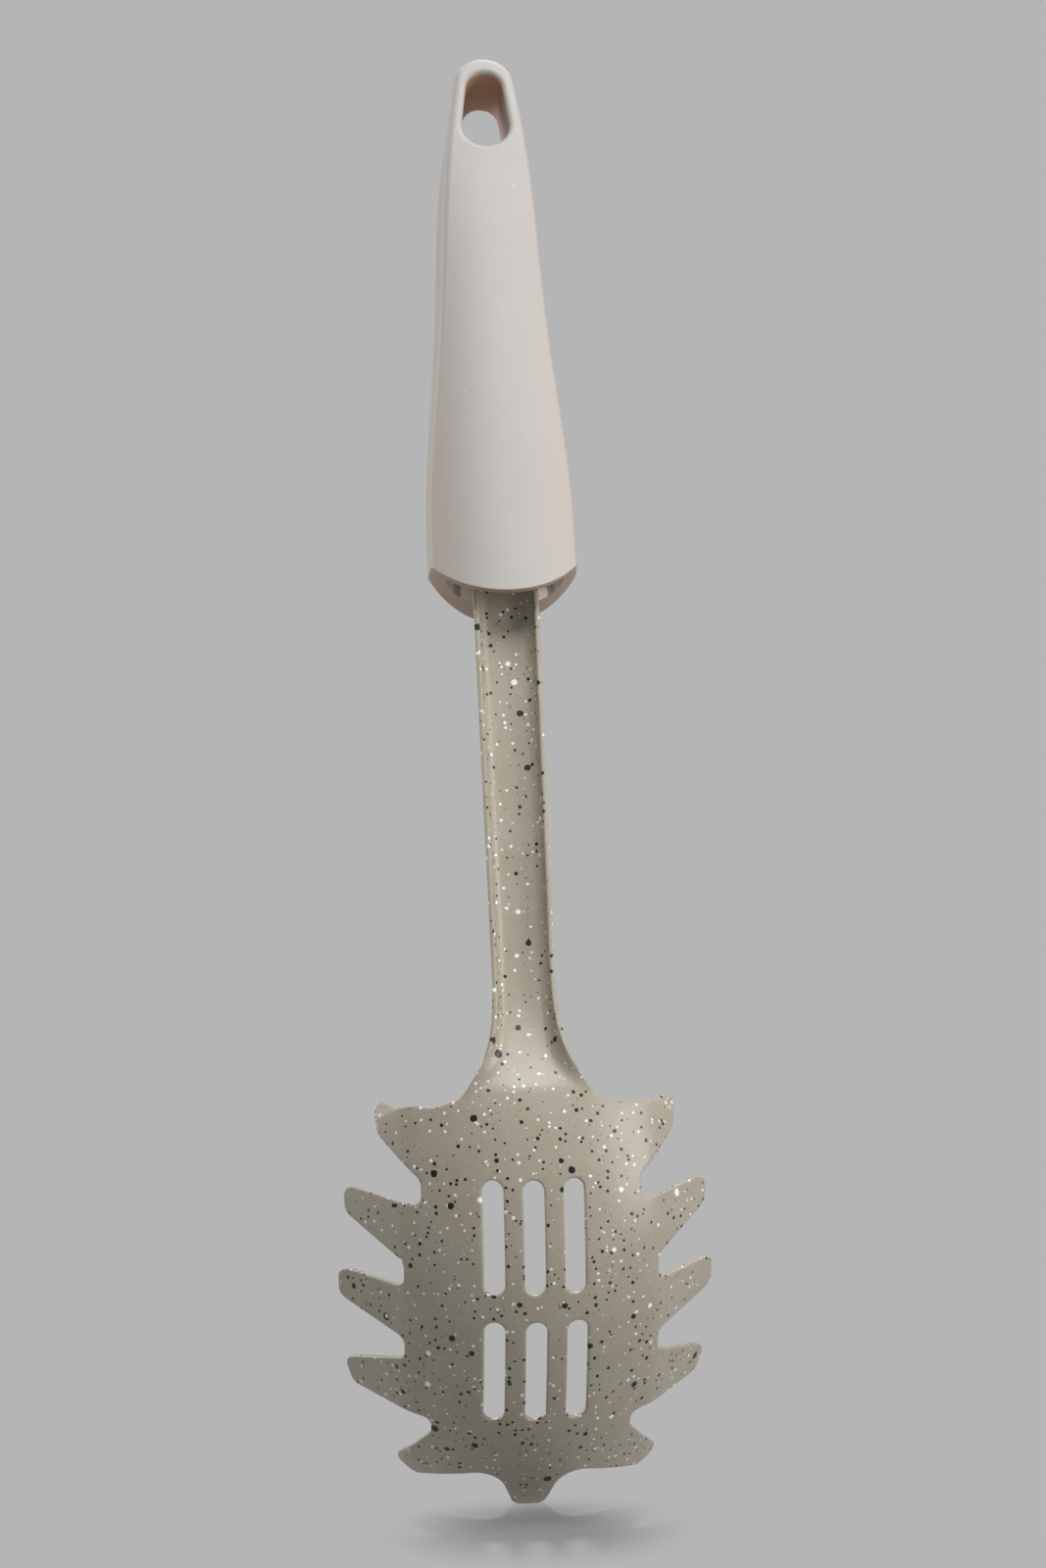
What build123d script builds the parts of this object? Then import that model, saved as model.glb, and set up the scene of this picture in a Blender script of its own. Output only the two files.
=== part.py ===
from build123d import *
from math import asin, cos, degrees, radians, sin, sqrt, tan
import os

# A pasta server: one pressed and coated steel head whose channel shank runs
# up between the two moulded shells of a pocket handle.
# The origin is the middle of the hanging eye. +Z is up and the back of the
# server, the outside of its bowl, faces -Y. Lengths are in millimetres.

# Stance
handle_lean = 20.0
bowl_tilt = 11.0

# Pressed head
sheet = 1.2
shank_length = 205.3
shank_half_width = 7.05
tang_half_width = 8.0
shank_corner = 2.4
shank_wall_slope = 80.0
shank_wall = 1.9
tang_reach = 66.0

# Neck, between the shank and the bowl
seam_half_width = 15.3
seam_angle = 37.5
shoulder_angle = 48.0
shoulder_radius = 30.0
ramp_radius = 95.0

# Bowl and tines
bowl_half_width = 41.9
bowl_drop = 57.3
cross_radius = 48.0
cross_slope = 32.0
heel_radius = 14.0
tine_slope = 49.0
upper_radius = 70.0
lower_radius = 90.0
tip_corner = 2.5
notch_corner = 2.2
tongue_hollow = 6.0
slot_width = 4.8
slot_length = 24.7
slot_pitch = 8.8
slot_bridge = 6.0
slot_middle = -1.35

# Handle
cap_reach = 13.8
cap_radius = 7.5
mouth_reach = 123.6
mouth_radius = 20.6
top_depth = 18.8
mouth_depth = 21.6
handle_half_width = 17.3
edge_rounding = 2.0
cap_rounding = 1.5
rim_rounding = 0.4
front_flare = 1.15

# Hanging eye
eye_length = 19.4
eye_top_radius = 4.4
eye_bottom_radius = 5.6
eye_rounding = 1.2

# Inside of the handle
side_land = 3.5
back_wall = 1.6
front_wall = 2.4
eye_wall = 5.0
mouth_wall = 9.0
core_corner = 3.6
rib = 1.8
rib_pitch = 17.0
peg_diameter = 4.0
peg_clearance = 0.1
peg_grip = 5.0
boss_diameter = 7.0
peg_inset = 18.0
peg_pitch = 34.0

# Length by which a cutting shape runs past what it cuts
overrun = 60.0

os.makedirs("parts", exist_ok=True)


def leaning(y, z, lean):
    """Plane across the server, its X to the right and its Y to the front"""
    upward = (0, sin(radians(lean)), cos(radians(lean)))
    return Plane(origin=(0, y, z), x_dir=(1, 0, 0), z_dir=upward)


def mirrored(point):
    return (-point[0], point[1])


# The parting plane of the handle holds its axis. Its Y runs down the handle.
axis_plane = leaning(0, 0, handle_lean)
parting = Plane(origin=(0, 0, 0), x_dir=(1, 0, 0), z_dir=axis_plane.y_dir)


def walk_down(start, lean_from, lean_to, radius):
    """End of an arc that runs down the spine while its lean changes"""
    a, b = radians(lean_from), radians(lean_to)
    return start[0] - radius * abs(cos(a) - cos(b)), start[1] - radius * abs(sin(a) - sin(b))


# The spine runs down the back of the sheet: shank, ramp, shoulder, bowl.
ramp_lean = shoulder_angle - bowl_tilt
seam_lean = seam_angle - bowl_tilt
shank_foot = axis_plane.from_local_coords(Vector(0, -sheet, -shank_length))
ramp_start = (shank_foot.Y, shank_foot.Z)
shoulder_start = walk_down(ramp_start, handle_lean, ramp_lean, ramp_radius)
seam = walk_down(shoulder_start, ramp_lean, seam_lean, shoulder_radius)
bowl_level = leaning(*walk_down(seam, seam_lean, -bowl_tilt, upper_radius), -bowl_tilt)
bowl_back = Plane(origin=bowl_level.origin, x_dir=(1, 0, 0), z_dir=bowl_level.y_dir * -1)


def arc_plane(share, start, lean_from, lean_to, radius):
    """Plane across the spine, a share of the way down one of its arcs"""
    lean = lean_from + share * (lean_to - lean_from)
    return leaning(*walk_down(start, lean_from, lean, radius), lean)


def arc_end(start, heading, turn, length):
    """End of an arc in a section that starts out at a heading and turns on the way"""
    chord = length * sin(turn / 2) / (turn / 2) if turn else length
    way = heading + turn / 2
    return start[0] + chord * cos(way), start[1] - chord * sin(way)


def other_face(point, heading):
    """The point of the sheet's front face that backs a point of its back face"""
    return point[0] + sheet * sin(heading), point[1] + sheet * cos(heading)


# From the shank (0) to the bowl (1) the neck's section spreads, its walls lie
# down until they slope away with the bowl, and its flat floor takes the dish.
wall_angle = radians(shank_wall_slope)
strip_turns = [asin(seam_half_width * share / cross_radius) for share in (0.75, 0.88, 1.0)]
neck_flare = 4
neck_power = 5.5
corner_length_share = 0.6


def neck_section(plane, share, half_width=shank_half_width):
    """Section of the neck, a share of the way from the shank to the bowl"""
    pressed = 1 - (1 - share**neck_power) ** 2
    dish = -strip_turns[0] * pressed
    slope = wall_angle - (wall_angle + strip_turns[-1]) * pressed
    corner = shank_corner * wall_angle * (1 - (1 - corner_length_share) * pressed)
    spread = half_width + (seam_half_width - half_width) * share**neck_flare
    reach = arc_end(arc_end((0, 0), dish, slope - dish, corner), slope, 0, shank_wall)[0]
    floor = spread - reach - sheet * max(0, sin(slope))
    foot = (floor, -floor * tan(dish / 2))
    bend = arc_end(foot, dish, (slope - dish) / 2, corner / 2)
    top = arc_end(foot, dish, slope - dish, corner)
    rim = arc_end(top, slope, 0, shank_wall)
    back = (foot, bend, top, rim)
    headings = (dish, (dish + slope) / 2, slope, slope)
    front = [other_face(point, heading) for point, heading in zip(back, headings)]
    with BuildSketch(plane) as section:
        with BuildLine():
            for (foot, bend, top, rim), middle in ((back, (0, 0)), (front, (0, sheet))):
                if share:
                    ThreePointArc(mirrored(foot), middle, foot)
                else:
                    Line(mirrored(foot), foot)
                for side in (tuple, mirrored):
                    ThreePointArc(side(foot), side(bend), side(top))
                    Line(side(top), side(rim))
            for side in (tuple, mirrored):
                Line(side(back[-1]), side(front[-1]))
        make_face()
    return section.sketch


def bowl_strip(plane):
    """Section of the bowl where the neck joins it, in as many pieces as the neck's"""
    stops = [-turn for turn in reversed(strip_turns)] + strip_turns

    def place(radius, turn):
        return (radius * sin(turn), cross_radius - radius * cos(turn))

    pieces = [Line(place(cross_radius, a), place(cross_radius - sheet, a)) for a in (stops[0], stops[-1])]
    for radius in (cross_radius, cross_radius - sheet):
        for a, b in zip(stops, stops[1:]):
            pieces.append(ThreePointArc(place(radius, a), place(radius, (a + b) / 2), place(radius, b)))
    return plane * Face(Wire(pieces))


def neck_plane(share):
    """Plane across the neck, a share of the way from the shank to the bowl"""
    ramp = ramp_radius * radians(ramp_lean - handle_lean)
    shoulder = shoulder_radius * radians(ramp_lean - seam_lean)
    way = share * (ramp + shoulder)
    if way < ramp:
        return arc_plane(way / ramp, ramp_start, handle_lean, ramp_lean, ramp_radius)
    return arc_plane((way - ramp) / shoulder, shoulder_start, ramp_lean, seam_lean, shoulder_radius)


def bowl_half(inset):
    """Half of the bowl's section, moved in from its back by an inset"""
    a, b = radians(cross_slope), radians(tine_slope)
    cross, heel = cross_radius - inset, heel_radius - inset
    hub = (
        (cross_radius - heel_radius) * sin(a),
        cross_radius - (cross_radius - heel_radius) * cos(a),
    )
    knee = (cross * sin(a), cross_radius - cross * cos(a))
    bend = (hub[0] + heel * sin((a + b) / 2), hub[1] - heel * cos((a + b) / 2))
    root = (hub[0] + heel * sin(b), hub[1] - heel * cos(b))
    tip = (root[0] + tine_run * cos(b), root[1] + tine_run * sin(b))
    return (0, inset), knee, bend, root, tip


# The section runs a little past the longest tine.
tine_run = (bowl_half_width - heel_radius) / cos(radians(tine_slope))
tilt = radians(seam_angle)
seam_sag = cross_radius - sqrt(cross_radius**2 - seam_half_width**2)
bowl_rise = (upper_radius - seam_sag) * sin(tilt)

# Half of the outline, from the neck round to the middle tine: shares of the
# bowl's half width, and of its rise above or its drop below the middle.
tip_shares = (
    ((0.812, 0.91), (0.8, 0.765)),
    ((0.967, 0.466), (0.9575, 0.342)),
    ((1.0, 0.015), (0.995, -0.105)),
    ((0.971, -0.382), (0.925, -0.509)),
    ((0.712, -0.811), (0.601, -0.865)),
)
notch_shares = (
    ((0.574, 0.604), (0.574, 0.483)),
    ((0.668, 0.172), (0.668, 0.034)),
    ((0.668, -0.191), (0.668, -0.272)),
    ((0.509, -0.542), (0.505, -0.625)),
)
tongue_root_share = (0.212, -0.772)
tongue_tip_share = (0.099, -1.0)

# The edge sinks a little between the neck and the first tine. Its lowest place
# and its hollow are shares of the way from the one to the other.
lobe_place_share = 0.272
lobe_hollow_share = 0.47
lobe_drop_share = 0.945
lobe_way = tip_shares[0][0][0] * bowl_half_width - seam_half_width
lobe_root = (seam_half_width, bowl_rise)
lobe_dip = (seam_half_width + lobe_place_share * lobe_way, bowl_rise * lobe_drop_share)


def on_bowl(share):
    height = bowl_rise if share[1] > 0 else bowl_drop
    return (bowl_half_width * share[0], height * share[1])


def at_corners(vertices, corners):
    """The vertices that stand at some corners of the outline, on either side"""
    places = corners + [mirrored(corner) for corner in corners]
    return [v for v in vertices if any(abs(v.X - x) + abs(v.Y - y) < tip_corner / 100 for x, y in places)]


tip_corners = [on_bowl(share) for pair in tip_shares for share in pair] + [on_bowl(tongue_tip_share)]
notch_corners = [on_bowl(share) for pair in notch_shares for share in pair]
tongue_root = on_bowl(tongue_root_share)
half_outline = [(seam_half_width, bowl_rise + overrun), lobe_root, lobe_dip]
for tip, notch in zip(tip_shares, notch_shares + ((tongue_root_share, tongue_tip_share),)):
    half_outline += [on_bowl(share) for share in tip + notch]

with BuildSketch(bowl_back) as outline:
    with BuildLine():
        Polyline(*half_outline, *[mirrored(p) for p in reversed(half_outline)], close=True)
    make_face()
    fillet(at_corners(outline.vertices(), tip_corners), tip_corner)
    fillet(at_corners(outline.vertices(), notch_corners), notch_corner)
    fillet(at_corners(outline.vertices(), [lobe_dip]), lobe_way * lobe_hollow_share)
    fillet(at_corners(outline.vertices(), [tongue_root]), tongue_hollow)

with BuildSketch(bowl_level) as bowl_section:
    with BuildLine():
        for inset in (0, sheet):
            middle, knee, bend, root, tip = bowl_half(inset)
            ThreePointArc(mirrored(knee), middle, knee)
            ThreePointArc(knee, bend, root)
            Line(root, tip)
            ThreePointArc(mirrored(knee), mirrored(bend), mirrored(root))
            Line(mirrored(root), mirrored(tip))
        for side in (tuple, mirrored):
            Line(side(bowl_half(0)[-1]), side(bowl_half(sheet)[-1]))
    make_face()

peg_places = [(0, mouth_reach - peg_inset - n * peg_pitch) for n in range(2)]
rib_places = [(0, mouth_reach - peg_inset - n * rib_pitch) for n in range(6)]

neck_steps = 8
neck = [neck_section(neck_plane(n / neck_steps), n / neck_steps) for n in range(neck_steps)]
neck.append(bowl_strip(neck_plane(1)))

# The shank widens a little from the neck to the end of its tang.
tang_end = axis_plane.from_local_coords(Vector(0, -sheet, tang_reach - mouth_reach))
shank = [neck[0], neck_section(leaning(tang_end.Y, tang_end.Z, handle_lean), 0, tang_half_width)]

# The head is one blank. The bowl is turned about two crosswise axes, and the
# outline and the slots are punched through it along its own direction.
with BuildPart() as server_head:
    for radius, way in ((upper_radius, 1), (lower_radius, -1)):
        hinge = bowl_level.from_local_coords(Vector(0, radius, 0))
        revolve(
            bowl_section.sketch,
            axis=Axis(hinge, (-way, 0, 0)),
            revolution_arc=degrees(asin(bowl_drop / lower_radius)) + bowl_tilt,
        )
    extrude(outline.sketch, amount=overrun, both=True, mode=Mode.INTERSECT)
    with BuildSketch(bowl_back):
        for way in (1, -1):
            with Locations((0, slot_middle + way * (slot_bridge + slot_length) / 2)):
                with GridLocations(slot_pitch, slot_pitch, 3, 1):
                    SlotOverall(slot_length, slot_width, rotation=90)
    extrude(amount=overrun, both=True, mode=Mode.SUBTRACT)
    with BuildSketch(leaning(*seam, seam_lean)):
        Rectangle(2 * seam_half_width, overrun)
    extrude(amount=overrun, mode=Mode.SUBTRACT)
    loft(neck)
    loft(shank)
    with BuildSketch(parting):
        with Locations(*peg_places):
            Circle(peg_diameter / 2 + peg_clearance)
    extrude(amount=overrun, both=True, mode=Mode.SUBTRACT)

server_head.part.label = "server_head"
export_step(server_head.part, "parts/server_head.step")


# The handle's section has sides that flare to the front and a crowned back and
# front. Each row is a place down the handle, the half width at the back as a
# share of the widest, the crown as a share of the half depth, and a share of the
# front's flare. A place above the middle of the eye is a share of the cap's
# reach, and one below it a share of the mouth's.
handle_shares = (
    (-1.16, 0.335, 0.016, -0.5),
    (-0.51, 0.425, 0.027, -0.2),
    (0.016, 0.5, 0.047, 0.3),
    (0.097, 0.565, 0.094, 0.7),
    (0.267, 0.65, 0.225, 0.95),
    (0.583, 0.815, 0.43, 0.95),
    (0.914, 0.965, 0.587, 0.45),
    (1.03, 1.004, 0.635, 0.2),
)


def down_handle(place):
    return place * (mouth_reach if place > 0 else cap_reach)


def depth_at(way):
    """Depth of the handle some way down it, which grows evenly from cap to mouth"""
    return top_depth + (mouth_depth - top_depth) * (way + cap_reach) / (mouth_reach + cap_reach)


def handle_section(row):
    """Section of the handle across its axis"""
    place, width, crown, flare = row
    way = down_handle(place)
    half_depth = depth_at(way) / 2
    back = width * handle_half_width
    front = back + flare * front_flare
    shoulder = half_depth * (1 - crown)
    with BuildSketch(axis_plane.offset(-way)) as section:
        with BuildLine():
            Line((back, -shoulder), (front, shoulder))
            ThreePointArc((front, shoulder), (0, half_depth), (-front, shoulder))
            Line((-front, shoulder), (-back, -shoulder))
            ThreePointArc((-back, -shoulder), (0, -half_depth), (back, -shoulder))
        make_face()
    return section.sketch


def core_section(row, wall, side):
    """Section of the hollow on one side of the parting plane"""
    place, width, crown, _ = row
    way = down_handle(place)
    half_depth = depth_at(way) / 2
    outer = width * handle_half_width
    half_width = outer - side_land
    deep = side * (half_depth - wall)
    shoulder = deep - side * half_depth * crown * (half_width / outer) ** 2
    with BuildSketch(axis_plane.offset(-way)) as section:
        with BuildLine():
            Polyline((half_width, shoulder), (half_width, 0), (-half_width, 0), (-half_width, shoulder))
            ThreePointArc((-half_width, shoulder), (0, deep), (half_width, shoulder))
        make_face()
        fillet(section.vertices().group_by(Axis.Y)[0 if side > 0 else -1], core_corner)
    return section.sketch


def rim_edges(edges):
    """The edges that a cut leaves on the back and the front of the handle"""
    curved = edges.filter_by(GeomType.LINE, reverse=True)
    return curved.filter_by(lambda e: e.length < mouth_reach / 2)


eye_top = -eye_length / 2 + eye_top_radius
eye_bottom = eye_length / 2 - eye_bottom_radius

# The whole handle, before it is parted and cored
with BuildPart() as handle_form:
    loft([handle_section(row) for row in handle_shares])
    fillet(handle_form.edges().filter_by(lambda e: e.length > mouth_reach / 2), edge_rounding)
    with BuildSketch(parting):
        with Locations((0, -cap_reach + cap_radius - overrun / 2)):
            Rectangle(overrun, overrun)
        with Locations((0, -cap_reach + cap_radius)):
            Circle(cap_radius, mode=Mode.SUBTRACT)
    extrude(amount=overrun, both=True, mode=Mode.SUBTRACT)
    fillet(rim_edges(handle_form.edges(Select.LAST)), cap_rounding)
    with BuildSketch(parting):
        with Locations((0, mouth_reach - mouth_radius + overrun / 2)):
            Rectangle(overrun, overrun)
        with Locations((0, mouth_reach - mouth_radius)):
            Circle(mouth_radius, mode=Mode.SUBTRACT)
    extrude(amount=overrun, both=True, mode=Mode.SUBTRACT)
    fillet(rim_edges(handle_form.edges(Select.LAST)), rim_rounding)
    with BuildSketch(parting):
        with Locations((0, eye_top)):
            Circle(eye_top_radius)
        with Locations((0, eye_bottom)):
            Circle(eye_bottom_radius)
        make_hull()
    extrude(amount=overrun, both=True, mode=Mode.SUBTRACT)
    fillet(rim_edges(handle_form.edges(Select.LAST)), eye_rounding)

# The hollow of each half starts below the eye. At the back it runs out through
# the mouth, and at the front it stops short of it and is crossed by ribs.
core_rows = [row for row in handle_shares if down_handle(row[0]) > eye_length / 2]
core_top = eye_length / 2 + eye_wall
core_end = mouth_reach - mouth_wall

with BuildPart() as back_core:
    loft([core_section(row, back_wall, -1) for row in core_rows])
    with BuildSketch(parting):
        with Locations((0, core_top - overrun / 2)):
            Rectangle(overrun, overrun)
    extrude(amount=overrun, both=True, mode=Mode.SUBTRACT)

with BuildPart() as front_core:
    loft([core_section(row, front_wall, 1) for row in core_rows])
    with BuildSketch(parting):
        with Locations((0, core_top - overrun / 2), (0, core_end + overrun / 2)):
            Rectangle(overrun, overrun)
        with Locations(*rib_places):
            Rectangle(overrun, rib)
        with Locations(*peg_places):
            Circle(boss_diameter / 2)
    extrude(amount=overrun, both=True, mode=Mode.SUBTRACT)

# The back shell takes the shank into its mouth and pins the tang to the front
# shell: each boss stands on the tang and its peg goes on through it.
with BuildPart() as handle_back_shell:
    add(handle_form.part)
    split(bisect_by=parting, keep=Keep.BOTTOM)
    add(back_core.part, mode=Mode.SUBTRACT)
    with BuildSketch(parting.offset(-sheet)):
        with Locations(*peg_places):
            Circle(boss_diameter / 2)
    extrude(until=Until.NEXT, dir=parting.z_dir * -1)
    with BuildSketch(parting.offset(-sheet)):
        with Locations(*peg_places):
            Circle(peg_diameter / 2)
    extrude(amount=sheet + peg_grip)

with BuildPart() as handle_front_shell:
    add(handle_form.part)
    split(bisect_by=parting, keep=Keep.TOP)
    add(front_core.part, mode=Mode.SUBTRACT)
    with BuildSketch(parting):
        with Locations(*peg_places):
            Circle(peg_diameter / 2 + peg_clearance)
    extrude(amount=peg_grip + peg_clearance, mode=Mode.SUBTRACT)

handle_back_shell.part.label = "handle_back_shell"
handle_front_shell.part.label = "handle_front_shell"
export_step(handle_back_shell.part, "parts/handle_back_shell.step")
export_step(handle_front_shell.part, "parts/handle_front_shell.step")
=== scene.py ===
from math import asin, cos, pi, radians, sin, sqrt, tan

import bpy
import numpy as np
from mathutils import Matrix, Vector
from mathutils.geometry import delaunay_2d_cdt
from mathutils.kdtree import KDTree


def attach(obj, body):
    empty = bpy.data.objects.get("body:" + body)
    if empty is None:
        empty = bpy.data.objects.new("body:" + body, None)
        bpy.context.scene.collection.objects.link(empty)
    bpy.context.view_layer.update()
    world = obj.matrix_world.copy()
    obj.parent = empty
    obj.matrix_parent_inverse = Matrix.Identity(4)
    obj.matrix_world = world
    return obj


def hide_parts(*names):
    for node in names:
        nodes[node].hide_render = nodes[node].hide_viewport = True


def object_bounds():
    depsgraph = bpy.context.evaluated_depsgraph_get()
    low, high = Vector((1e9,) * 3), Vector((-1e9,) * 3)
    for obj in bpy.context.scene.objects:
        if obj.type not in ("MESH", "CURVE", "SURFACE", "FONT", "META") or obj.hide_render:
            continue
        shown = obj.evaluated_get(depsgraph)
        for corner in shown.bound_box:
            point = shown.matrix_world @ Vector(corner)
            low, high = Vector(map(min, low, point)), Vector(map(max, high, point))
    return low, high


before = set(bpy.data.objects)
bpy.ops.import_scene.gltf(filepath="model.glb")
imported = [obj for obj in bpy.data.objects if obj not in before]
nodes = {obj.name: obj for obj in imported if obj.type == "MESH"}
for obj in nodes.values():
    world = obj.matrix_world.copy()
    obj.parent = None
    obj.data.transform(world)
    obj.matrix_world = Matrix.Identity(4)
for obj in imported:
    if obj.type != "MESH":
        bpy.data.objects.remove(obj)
cad_low, cad_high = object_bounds()


# The head: bowl, tines, neck, channel shank and tang are one blank of 1.2 mm sheet
# steel. It is punched flat, its edges are broken, it is pressed to shape and then
# coated all over. Its sizes are in millimetres.
MM = 0.001
sheet = 1.2
broken_edge = 0.38
tang_length, tang_half_width = 147.7, 8.0
shank_half_width = 7.05
shank_floor, shank_corner, shank_wall = 3.2, 3.351, 1.9
wall_angle = radians(80)
handle_lean, ramp_lean, seam_lean, bowl_tilt = radians(20), radians(37), radians(26.5), radians(11)
ramp_length, shoulder_length = 31.2, 2.5
upper_radius, lower_radius, lower_turn = 70.0, 90.0, radians(60)
cross_radius, heel_radius = 48.0, 14.0
cross_slope, tine_slope = radians(32), radians(49)
tine_reach = 60.0
seam_half_width = 15.3
seam_reach = cross_radius * asin(seam_half_width / cross_radius)
neck_length = ramp_length + shoulder_length
rise_length = upper_radius * (seam_lean + bowl_tilt)

# How late the neck widens and how late it flattens on its way down, and how much
# of their radius its corners lose. Its shank starts at this depth and height.
neck_flare, neck_power, corner_loss = 4, 5.5, 0.4
shank_foot = (-71.344, -192.508)

# Down the server, and across the bowl from its middle, the sheet follows arcs:
# each has a length and the angle it turns by.
spine = (
    (ramp_length, ramp_lean - handle_lean),
    (shoulder_length, seam_lean - ramp_lean),
    (rise_length, -bowl_tilt - seam_lean),
    (lower_radius * lower_turn, -lower_turn),
)
dish = (
    (cross_radius * cross_slope, -cross_slope),
    (heel_radius * (tine_slope - cross_slope), cross_slope - tine_slope),
    (tine_reach, 0.0),
)


def walk(arcs, way, heading):
    """Where a line of arcs leads after some way, and its heading there"""
    x = y = 0
    for length, turn in arcs:
        part = min(way, length)
        bend = turn * part / length
        chord = part * (sin(bend / 2) / (bend / 2) if bend else 1)
        x += chord * cos(heading + bend / 2)
        y += chord * sin(heading + bend / 2)
        heading += bend
        way -= part
        if way <= 0:
            break
    return x, y, heading


def neck_section(place):
    """The arcs of half a section of the tang, shank or neck at a place down the server"""
    share = min(max(place / neck_length, 0), 1)
    pressed = 1 - (1 - share ** neck_power) ** 2
    half_width = shank_half_width + (tang_half_width - shank_half_width) * max(-place, 0) / tang_length
    spread = half_width + (seam_half_width - half_width) * share ** neck_flare
    corner = shank_corner * (1 - corner_loss * pressed)
    floor = shank_floor
    # The floor takes what the corner and the wall leave of the width, in a few rounds.
    for _ in range(3):
        sink = -pressed * floor / cross_radius
        slope = wall_angle * (1 - pressed) - pressed * (floor + corner) / cross_radius
        arcs = ((floor, sink), (corner, slope - sink), (shank_wall, -pressed * shank_wall / cross_radius))
        across, _, last = walk(arcs, floor + corner + shank_wall, 0)
        floor += spread - across - sheet * max(0, sin(last))
    return arcs


def form(across, place, depth):
    """Presses a point of the flat blank: across it, down it and through it"""
    side, reach = (-1 if across < 0 else 1), abs(across)
    arcs = dish if place >= neck_length or reach > seam_reach else neck_section(place)
    x, y, heading = walk(arcs, reach, 0)
    x, y = x + depth * sin(heading), -y + depth * cos(heading)
    if place > 0:
        down, back, lean = walk(spine, place, handle_lean)
    else:
        down, back, lean = place * cos(handle_lean), place * sin(handle_lean), handle_lean
    return Vector((side * x, shank_foot[0] - back + y * cos(lean), shank_foot[1] - down - y * sin(lean)))


def onto_blank(point):
    """The flat place of a point of the bowl, which is seen square on from its middle"""
    low, high = 0, tine_reach
    for _ in range(40):
        reach = (low + high) / 2
        across, rise, _ = walk(dish, reach, 0)
        low, high = (reach, high) if across < abs(point.x) else (low, reach)
    radius = upper_radius if point.y > 0 else lower_radius
    place = neck_length + rise_length - radius * asin(point.y / (radius + rise))
    return Vector((reach if point.x >= 0 else -reach, place))


def rounded(points, step=0.45):
    """A line through points, with each corner that has a radius rounded off"""
    line = []
    for n, (x, y, radius) in enumerate(points):
        here = Vector((x, y))
        if not radius:
            line.append(here)
            continue
        before = (Vector(points[n - 1][:2]) - here).normalized()
        after = (Vector(points[n + 1][:2]) - here).normalized()
        half = before.angle(after) / 2
        middle = here + (before + after).normalized() * radius / sin(half)
        start = here + before * radius / tan(half) - middle
        turn = start.angle_signed(here + after * radius / tan(half) - middle)
        count = max(3, round(radius * abs(turn) / step))
        line += [middle + Matrix.Rotation(-turn * k / count, 2) @ start for k in range(count + 1)]
    return line


def evened(line, step):
    """A line with points added so that none of its pieces is longer than a step"""
    out = []
    for a, b in zip(line, line[1:]):
        count = max(1, round((b - a).length / step))
        out += [a.lerp(b, k / count) for k in range(count)]
    return out + [line[-1]]


# Half of the bowl's outline, from the neck to the middle tine: each corner's
# place across and up from the bowl's middle, and its rounding.
tip, notch = 2.5, 2.2
bowl_outline = (
    (15.3, 41.2, 0), (20.39, 38.9, 8.8),
    (33.5, 38.3, tip), (32.9, 31.0, tip), (24.05, 24.5, notch), (24.05, 19.45, notch),
    (40.45, 18.7, tip), (40.1, 12.9, tip), (27.99, 6.6, notch), (27.99, 1.0, notch),
    (41.9, 0.25, tip), (41.69, -6.5, tip), (27.99, -11.3, notch), (27.99, -16.1, notch),
    (40.68, -22.15, tip), (38.76, -28.5, tip), (22.2, -30.9, notch), (22.2, -34.7, notch),
    (30.1, -45.3, tip), (25.18, -49.0, tip), (7.5, -44.2, 6),
    (3.4, -55.9, tip), (0, -55.9, 0),
)
slot_width = 4.6
slot_columns = ((-8.8, 0.05, 8.9), (-8.8, 0.35, 9.4))
slot_rows = ((26.1, 1.75), (-4.65, -29.4))
peg_places, peg_radius = (-99.7, -133.7), 2.1
neck_steps, slot_corners, peg_corners = 16, 28, 24
grain = 0.9


def blank_loops():
    """The punched outline of the blank and its holes, laid out flat"""
    places = [-tang_length] + [neck_length * n / neck_steps for n in range(neck_steps + 1)]
    edge = [Vector((0, -tang_length))]
    edge += [Vector((sum(length for length, _ in neck_section(place)), place)) for place in places]
    bowl = evened(rounded(bowl_outline), grain)
    edge = evened(edge, grain) + [onto_blank(point) for point in bowl[1:]]
    loops = [edge + [Vector((-p.x, p.y)) for p in reversed(edge[1:-1])]]
    half = slot_width / 2
    for columns, (top, foot) in zip(slot_columns, slot_rows):
        for column in columns:
            ring = []
            for k in range(slot_corners):
                turn = 2 * pi * (k + 0.5) / slot_corners
                end = top - half if sin(turn) > 0 else foot + half
                ring.append(Vector((column + half * cos(turn), end + half * sin(turn))))
            loops.append([onto_blank(point) for point in evened(ring + ring[:1], grain)[:-1]])
    turns = [2 * pi * k / peg_corners for k in range(peg_corners)]
    for place in peg_places:
        loops.append([Vector((peg_radius * cos(turn), place + peg_radius * sin(turn))) for turn in turns])
    return loops


def inside(points, loops):
    """Which of the points lie between the outline and the holes"""
    points = np.array(points)
    odd = np.zeros(len(points), bool)
    for loop in loops:
        for a, b in zip(loop, loop[1:] + loop[:1]):
            if a.y != b.y:
                level = (a.y > points[:, 1]) != (b.y > points[:, 1])
                odd ^= level & (points[:, 0] < a.x + (b.x - a.x) * (points[:, 1] - a.y) / (b.y - a.y))
    return odd


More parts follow.
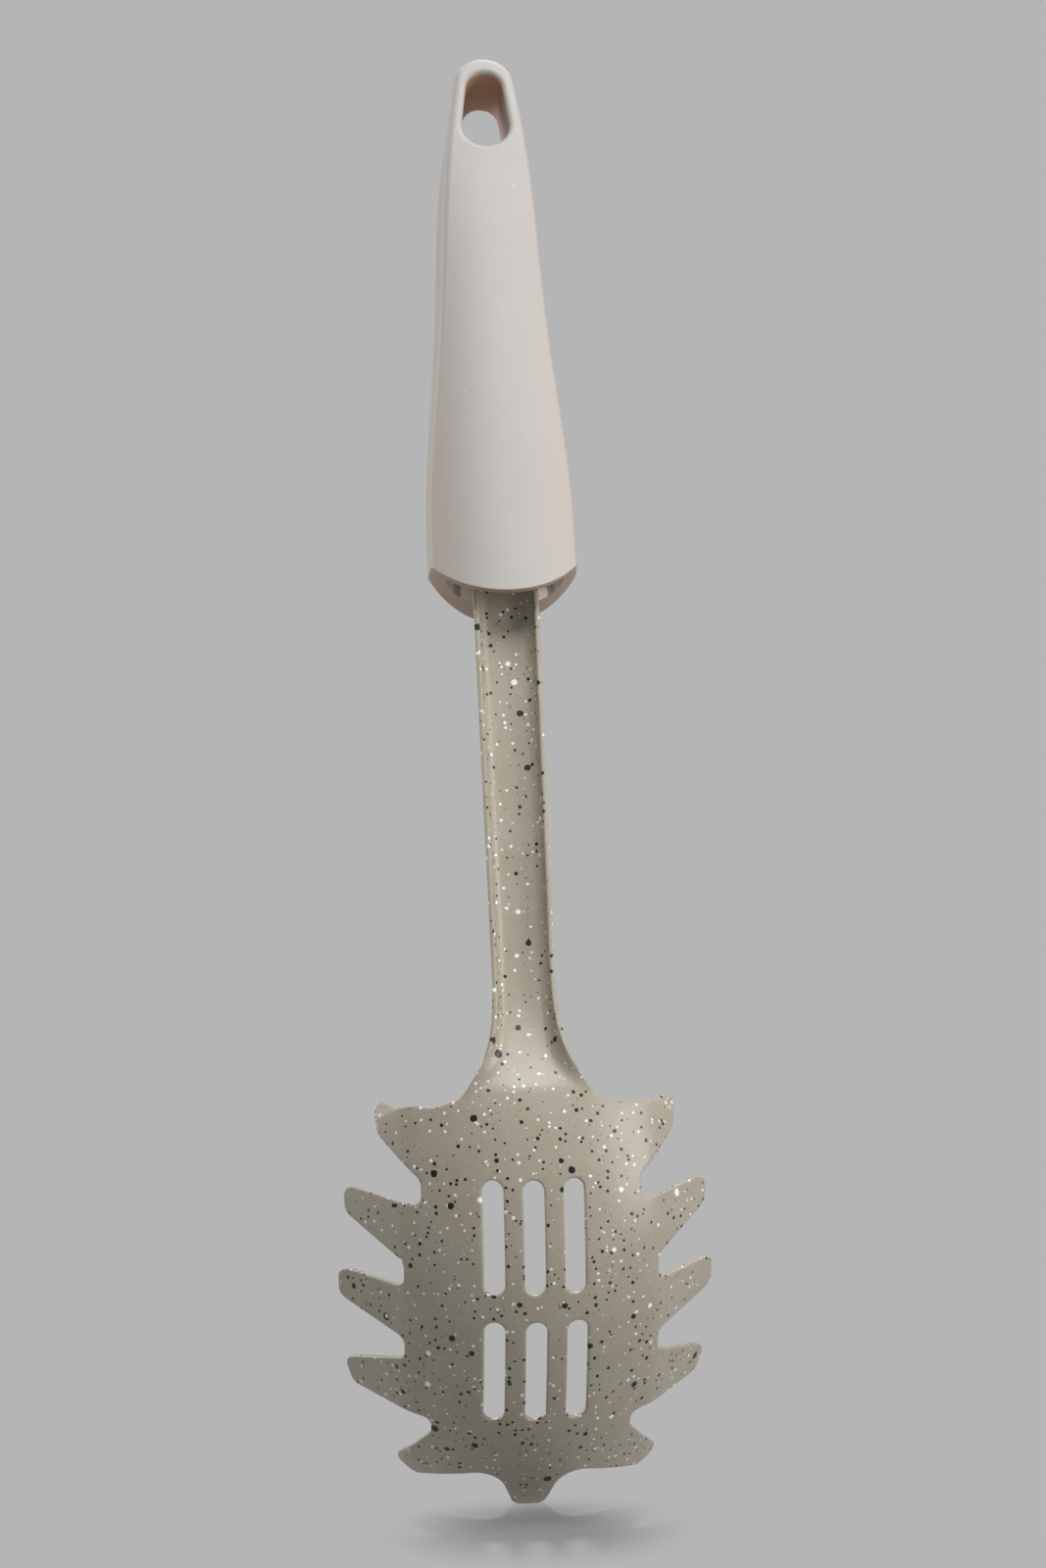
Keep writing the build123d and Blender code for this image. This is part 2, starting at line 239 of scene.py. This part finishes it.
def punch_blank(name):
    """A flat mesh of even triangles inside the punched outline

    A cut made with Blender's own tools leaves long thin faces, which would show
    as creases once the sheet is pressed into the dish.
    """
    loops = blank_loops()
    points = [p for loop in loops for p in loop]
    rim = KDTree(len(points))
    for n, p in enumerate(points):
        rim.insert(p.to_3d(), n)
    rim.balance()
    edges, first = [], 0
    for loop in loops:
        edges += [(first + k, first + (k + 1) % len(loop)) for k in range(len(loop))]
        first += len(loop)
    low, high = min(p.y for p in points), max(p.y for p in points)
    wide = max(p.x for p in points)
    grid = [
        Vector((x + (grain / 2 if n % 2 else 0), y))
        for n, y in enumerate(np.arange(low, high, grain * sqrt(3) / 2))
        for x in np.arange(-wide, wide, grain)
    ]
    grid = [p for p, held in zip(grid, inside(grid, loops)) if held]
    clear, merge = 0.75 * grain, 1e-5
    points += [p for p in grid if rim.find(p.to_3d())[2] > clear]
    places, _, faces, *_ = delaunay_2d_cdt(points, edges, [], 0, merge)
    middles = [sum((places[k] for k in f), Vector((0, 0))) / 3 for f in faces]
    kept = [f for f, held in zip(faces, inside(middles, loops)) if held]
    mesh = bpy.data.meshes.new(name)
    mesh.from_pydata([(p.x * MM, p.y * MM, 0) for p in places], [], kept)
    piece = bpy.data.objects.new(name, mesh)
    bpy.context.scene.collection.objects.link(piece)
    return piece


def srgb(code):
    """Linear colour of an sRGB hex code"""
    parts = [int(code[i:i + 2], 16) / 255 for i in (1, 3, 5)]
    return tuple(c / 12.92 if c <= 0.04045 else ((c + 0.055) / 1.055) ** 2.4 for c in parts) + (1.0,)


def add_node(tree, kind, inputs=None, **settings):
    """Adds a node with its properties; an input is a value, a socket or a node's first output"""
    node = tree.nodes.new(kind)
    for name, value in settings.items():
        setattr(node, name, value)
    for socket, value in (inputs or {}).items():
        if isinstance(value, bpy.types.Node):
            value = next(pin for pin in value.outputs if pin.enabled)
        if isinstance(value, bpy.types.NodeSocket):
            tree.links.new(value, node.inputs[socket])
        else:
            node.inputs[socket].default_value = value
    return node


def new_material(name):
    """An empty material and its node tree"""
    material = bpy.data.materials.new(name)
    material.use_nodes = True
    material.node_tree.nodes.clear()
    return material, material.node_tree


def tint(tree, colour, shade, *shares):
    """Lays a shade over a colour by all its shares at once"""
    share, *others = shares
    for other in others:
        share = add_node(tree, "ShaderNodeMath", {0: share, 1: other}, operation="MULTIPLY")
    # Inputs 6 and 7 of a Mix node are its two colours.
    return add_node(tree, "ShaderNodeMix", {0: share, 6: colour, 7: srgb(shade)}, data_type="RGBA")


fleck_edge = 0.07


def flecks(tree, place, pitch, share, radius, start):
    """Round flecks: mm from one to the next, how many are there, their radius in mm, a start"""
    offset = (start, -start, 2 * start)
    moved = add_node(tree, "ShaderNodeVectorMath", {0: place, 1: offset}, operation="ADD")
    cells = add_node(tree, "ShaderNodeTexVoronoi", {"Vector": moved, "Scale": 1 / (pitch * MM)})
    chance = add_node(tree, "ShaderNodeSeparateColor", {"Color": cells.outputs["Color"]})
    # A fleck's own radius lies between four tenths of the given one and all of it.
    size = add_node(tree, "ShaderNodeMath", {
        0: chance.outputs["Red"], 1: 0.6 * radius / pitch, 2: 0.4 * radius / pitch,
    }, operation="MULTIPLY_ADD")
    reach = add_node(tree, "ShaderNodeMath", {0: size, 1: cells.outputs["Distance"]}, operation="SUBTRACT")
    disc = add_node(tree, "ShaderNodeMath", {
        0: reach, 1: pitch / fleck_edge,
    }, operation="MULTIPLY", use_clamp=True)
    here = add_node(tree, "ShaderNodeMath", {0: chance.outputs["Green"], 1: share}, operation="LESS_THAN")
    return add_node(tree, "ShaderNodeMath", {0: disc, 1: here}, operation="MULTIPLY")


# Each layer of flecks: its pitch, share, radius and start, then how strong it is
# and its colour. The third layer from the end stands a little proud of the coat.
fleck_layers = (
    (1.25, 0.8, 0.24, 0.013, 0.6, "#5A5348"),
    (1.0, 1.0, 0.2, 0.029, 0.5, "#D9D5CC"),
    (1.7, 0.8, 0.5, 0.041, 0.98, "#0B0A0A"),
    (1.7, 0.75, 0.44, 0.057, 0.96, "#F4F3F0"),
    (5.0, 0.8, 1.0, 0.071, 0.98, "#0B0A0A"),
    (6.0, 0.6, 0.9, 0.087, 0.97, "#F7F6F3"),
)


def coat():
    """Stone-look non-stick enamel, sprayed and baked

    It gives the eye a soft satin sheen on taupe grey, thick with round flecks of
    black and white, and a faint orange peel where the light grazes it.
    """
    material, tree = new_material("stone_look_nonstick_coating")
    place = add_node(tree, "ShaderNodeTexCoord").outputs["Object"]
    cloud = add_node(tree, "ShaderNodeTexNoise", {"Vector": place, "Scale": 1 / (9 * MM), "Detail": 2.0})
    stray = add_node(tree, "ShaderNodeTexNoise", {"Vector": place, "Scale": 1 / (0.9 * MM), "Detail": 1.0})
    push = add_node(tree, "ShaderNodeVectorMath", {
        0: stray.outputs["Color"], 1: (0.22 * MM,) * 3,
    }, operation="MULTIPLY")
    bent = add_node(tree, "ShaderNodeVectorMath", {0: place, 1: push}, operation="ADD").outputs["Vector"]
    colour = tint(tree, srgb("#A09684"), "#ACA698", cloud)
    masks = []
    for *layer, strength, shade in fleck_layers:
        masks.append(flecks(tree, bent, *layer))
        colour = tint(tree, colour, shade, masks[-1], strength)
    peel = add_node(tree, "ShaderNodeTexNoise", {"Vector": place, "Scale": 1 / (1.1 * MM), "Detail": 2.0})
    height = add_node(tree, "ShaderNodeMath", {0: masks[-3], 1: 0.6, 2: peel}, operation="MULTIPLY_ADD")
    bump = add_node(tree, "ShaderNodeBump", {"Height": height, "Strength": 0.35, "Distance": 0.05 * MM})
    surface = add_node(tree, "ShaderNodeBsdfPrincipled", {
        "Base Color": colour, "Roughness": 0.35, "IOR": 1.5, "Normal": bump,
    })
    add_node(tree, "ShaderNodeOutputMaterial", {"Surface": surface})
    return material


bpy.ops.object.select_all(action="DESELECT")
head = punch_blank("pressed_head")
head.select_set(True)
bpy.context.view_layer.objects.active = head
bpy.ops.object.mode_set(mode="EDIT")
bpy.ops.mesh.select_all(action="SELECT")
bpy.ops.mesh.delete_loose(use_verts=True, use_edges=True, use_faces=False)
bpy.ops.mesh.select_all(action="SELECT")
bpy.ops.mesh.normals_make_consistent(inside=False)
bpy.ops.object.mode_set(mode="OBJECT")
plate = head.modifiers.new("sheet", "SOLIDIFY")
plate.thickness = sheet * MM
plate.offset = 0
edge = head.modifiers.new("broken_edge", "BEVEL")
edge.width = broken_edge * MM
edge.segments = 3
edge.limit_method = "ANGLE"
edge.angle_limit = radians(60)
edge.use_clamp_overlap = False
for modifier in list(head.modifiers):
    bpy.ops.object.modifier_apply(modifier=modifier.name)
for vertex in head.data.vertices:
    x, y, z = vertex.co / MM
    vertex.co = form(x, y, z + sheet / 2) * MM
head.data.update()
bpy.ops.object.mode_set(mode="EDIT")
bpy.ops.mesh.select_all(action="SELECT")
bpy.ops.mesh.normals_make_consistent(inside=False)
bpy.ops.object.mode_set(mode="OBJECT")
bpy.ops.object.shade_smooth_by_angle(angle=radians(40))

head.data.materials.append(coat())
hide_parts("server_head")
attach(head, "root")


# The handle is two shells moulded in warm grey polypropylene. Pegs on the back one
# go through the tang into the front one. The CAD shells are shown as they are, so
# only their finish is made.
def plastic(name, inward):
    """Polypropylene moulded in a spark-eroded tool

    Its fine grain takes the gloss away, so it looks matt and soft. Painted shade and
    warm bounce light make it browner in the eye, darkest under the eye's top, and on
    the end faces of the mouth that look down. Painted light makes the inside of the
    mouth pocket lighter.
    """
    material, tree = new_material(name)
    seen = add_node(tree, "ShaderNodeTexCoord")
    place = seen.outputs["Object"]
    # Along the handle's own axes: a point's place in mm, and the way its face looks.
    lean = (handle_lean, 0, 0)
    spot = add_node(tree, "ShaderNodeMapping", {"Vector": place, "Rotation": lean, "Scale": (1 / MM,) * 3})
    look = add_node(tree, "ShaderNodeMapping", {
        "Vector": seen.outputs["Normal"], "Rotation": lean,
    }, vector_type="VECTOR")
    across, through, upward = add_node(tree, "ShaderNodeSeparateXYZ", {"Vector": spot}).outputs
    look_across, look_through, look_up = add_node(tree, "ShaderNodeSeparateXYZ", {"Vector": look}).outputs
    side = add_node(tree, "ShaderNodeMath", {0: across}, operation="ABSOLUTE")
    hand = add_node(tree, "ShaderNodeMath", {0: across}, operation="SIGN")
    outward = add_node(tree, "ShaderNodeMath", {0: hand, 1: look_across}, operation="MULTIPLY")
    off_middle = add_node(tree, "ShaderNodeMath", {0: through}, operation="ABSOLUTE")
    # The eye is a slot, so it is an oval here: its length counts for less.
    squeezed = add_node(tree, "ShaderNodeVectorMath", {0: spot, 1: (1, 0, 0.58)}, operation="MULTIPLY")
    around = add_node(tree, "ShaderNodeVectorMath", {0: squeezed}, operation="LENGTH")

    # Each zone rises smoothly from none at its first value to full at its second.
    zones = {}
    for zone, value, none, full in (
        ("side", side, 5.0, 17.0),
        ("in_eye", around, 7.0, 6.0),
        ("below_rim", off_middle, 9.2, 7.8),
        ("eye_top", upward, -1.0, 9.0),
        ("mouth", upward, -95.0, -102.0),
        ("shaded_end_face", look_up, -0.3, -0.7),
        ("inner_wall", outward, -0.3, -0.6),
        ("deck", look_through, 0.5 * inward, 0.8 * inward),
    ):
        zones[zone] = add_node(tree, "ShaderNodeMapRange", {
            "Value": value, "From Min": none, "From Max": full,
        }, interpolation_type="SMOOTHSTEP")
    inner = add_node(tree, "ShaderNodeMath", {0: zones["inner_wall"], 1: zones["deck"]}, operation="MAXIMUM")

    cloud = add_node(tree, "ShaderNodeTexNoise", {"Vector": place, "Scale": 1 / (14 * MM), "Detail": 3.0})
    blush = add_node(tree, "ShaderNodeTexNoise", {"Vector": place, "Scale": 1 / (3.5 * MM), "Detail": 2.0})
    colour = tint(tree, srgb("#ADAAA6"), "#B4B1AD", cloud)
    for shade, *shares in (
        ("#BDAFA5", zones["side"], 0.55),
        ("#B8A69B", blush, 0.12),
        ("#EDEAE6", flecks(tree, place, 4.5, 0.35, 0.3, 0.011), 0.7),
        # Painted shade and warm bounce light in the eye's bore, browner and darker still under its top.
        ("#BCA698", zones["in_eye"], zones["below_rim"], 0.6),
        ("#A8794E", zones["in_eye"], zones["below_rim"], zones["eye_top"], 0.8),
        # Painted shade on the mouth's end faces, which look down.
        ("#9C8270", zones["shaded_end_face"], zones["mouth"], 0.9),
        # Painted light inside the mouth pocket, which lies in shade.
        ("#F6EADC", inner, zones["mouth"]),
    ):
        colour = tint(tree, colour, shade, *shares)
    # The real grain is about 0.1 mm and is drawn coarser, so that it shows.
    grit = add_node(tree, "ShaderNodeTexNoise", {"Vector": place, "Scale": 1 / (0.35 * MM), "Detail": 2.0})
    bump = add_node(tree, "ShaderNodeBump", {"Height": grit, "Strength": 0.25, "Distance": 0.03 * MM})
    surface = add_node(tree, "ShaderNodeBsdfPrincipled", {
        "Base Color": colour, "Roughness": 0.58, "IOR": 1.49, "Normal": bump,
    })
    add_node(tree, "ShaderNodeOutputMaterial", {"Surface": surface})
    return material


# The deck of each shell looks towards the other shell, so its way differs.
for node, finish in (
    ("handle_back_shell", plastic("matt_grained_polypropylene_back", 1)),
    ("handle_front_shell", plastic("matt_grained_polypropylene_front", -1)),
):
    nodes[node].data.materials.clear()
    nodes[node].data.materials.append(finish)


# The stage is grey backdrop paper, and the tip of the middle tine just touches it.
# Soft boxes light the server from the right, from above and weakly from the left,
# and a spot behind it throws the shadow in front of it.
tip_above_foot = 1.3
floor_height = cad_low.z + tip_above_foot * MM
shadow_middle = -0.088
lit_near, lit_far = 0.008, 0.042
paper = "#B5B5B5"


def paper_finish():
    """Matt backdrop paper: it takes light and shadow near the server and is plain beyond it"""
    material, tree = new_material("matt_backdrop_paper")
    place = add_node(tree, "ShaderNodeTexCoord").outputs["Object"]
    lit = add_node(tree, "ShaderNodeBsdfDiffuse", {"Color": srgb("#8C8C8C")})
    plain = add_node(tree, "ShaderNodeEmission", {"Color": srgb(paper), "Strength": 1.0})
    oval = add_node(tree, "ShaderNodeVectorMath", {0: place, 1: (1.1, 1.25, 1)}, operation="MULTIPLY")
    reach = add_node(tree, "ShaderNodeVectorMath", {0: oval}, operation="LENGTH")
    fade = add_node(tree, "ShaderNodeMapRange", {
        "Value": reach, "From Min": lit_far, "From Max": lit_near,
    }, interpolation_type="SMOOTHSTEP")
    mix = add_node(tree, "ShaderNodeMixShader", {0: fade, 1: plain, 2: lit})
    add_node(tree, "ShaderNodeOutputMaterial", {"Surface": mix})
    return material


bpy.ops.object.select_all(action="DESELECT")
bpy.ops.mesh.primitive_plane_add(size=8, location=(0, shadow_middle, floor_height))
floor = bpy.context.object
floor.name = "stage_floor"
floor.data.materials.append(paper_finish())

world = bpy.data.worlds.new("studio")
bpy.context.scene.world = world
world.use_nodes = True
tree = world.node_tree
tree.nodes.clear()
ray = add_node(tree, "ShaderNodeLightPath")
room = add_node(tree, "ShaderNodeBackground", {"Color": srgb("#FFFFFF"), "Strength": 0.16})
backdrop = add_node(tree, "ShaderNodeBackground", {"Color": srgb(paper), "Strength": 1.0})
pick = add_node(tree, "ShaderNodeMixShader", {0: ray.outputs["Is Camera Ray"], 1: room, 2: backdrop})
add_node(tree, "ShaderNodeOutputWorld", {"Surface": pick})


def lamp(name, kind, place, target, watts, **settings):
    """A lamp that looks at a target"""
    data = bpy.data.lights.new(name, kind)
    data.energy = watts
    for setting, value in settings.items():
        setattr(data, setting, value)
    thing = bpy.data.objects.new(name, data)
    bpy.context.scene.collection.objects.link(thing)
    thing.location = place
    thing.rotation_euler = (Vector(target) - Vector(place)).to_track_quat("-Z", "Y").to_euler()


server_middle = (0, -0.045, -0.15)
for name, place, width, height, watts in (
    ("key_right", (0.9, -0.5, 0.05), 0.5, 0.7, 5.8),
    ("top", (0.1, -0.42, 0.8), 0.8, 0.5, 10.3),
    ("fill_left", (-0.7, 0.5, 0.05), 0.5, 0.8, 4.3),
):
    lamp(name, "AREA", place, server_middle, watts, shape="RECTANGLE", size=width, size_y=height)
lamp(
    "floor_spot", "SPOT", (0.05, 0.5, 0.7), (0, -0.09, floor_height), 52,
    spot_size=radians(12), spot_blend=0.8, shadow_soft_size=0.13,
)


# The camera stands a little to the left of the server and looks down on it. It is
# placed so that the middle of the bowl is seen at its pixel of the picture.
turn, pitch, roll = radians(-4.6), radians(2.0), radians(1.04)
forward = Vector((-sin(turn) * cos(pitch), cos(turn) * cos(pitch), -sin(pitch)))
level = Vector((cos(turn), sin(turn), 0))
above = level.cross(forward)
right = level * cos(roll) - above * sin(roll)
up = level * sin(roll) + above * cos(roll)
image_width, image_height = 1067, 1600
bowl_pixel = (546.3, 1330.0)
bowl_distance = 0.6947
pixels_per_turn = 3300.0
aim = (
    forward
    + right * (bowl_pixel[0] - image_width / 2) / pixels_per_turn
    - up * (bowl_pixel[1] - image_height / 2) / pixels_per_turn
)
stand = form(0, neck_length + rise_length, 0) * MM - aim * bowl_distance

lens = bpy.data.cameras.new("camera")
lens.sensor_width = 36
lens.lens = lens.sensor_width * pixels_per_turn / image_height
lens.clip_start = 0.01
camera = bpy.data.objects.new("camera", lens)
bpy.context.scene.collection.objects.link(camera)
camera.matrix_world = Matrix((
    (right.x, up.x, -forward.x, stand.x),
    (right.y, up.y, -forward.y, stand.y),
    (right.z, up.z, -forward.z, stand.z),
    (0, 0, 0, 1),
))
bpy.context.scene.camera = camera
bpy.context.scene.view_settings.view_transform = "Standard"
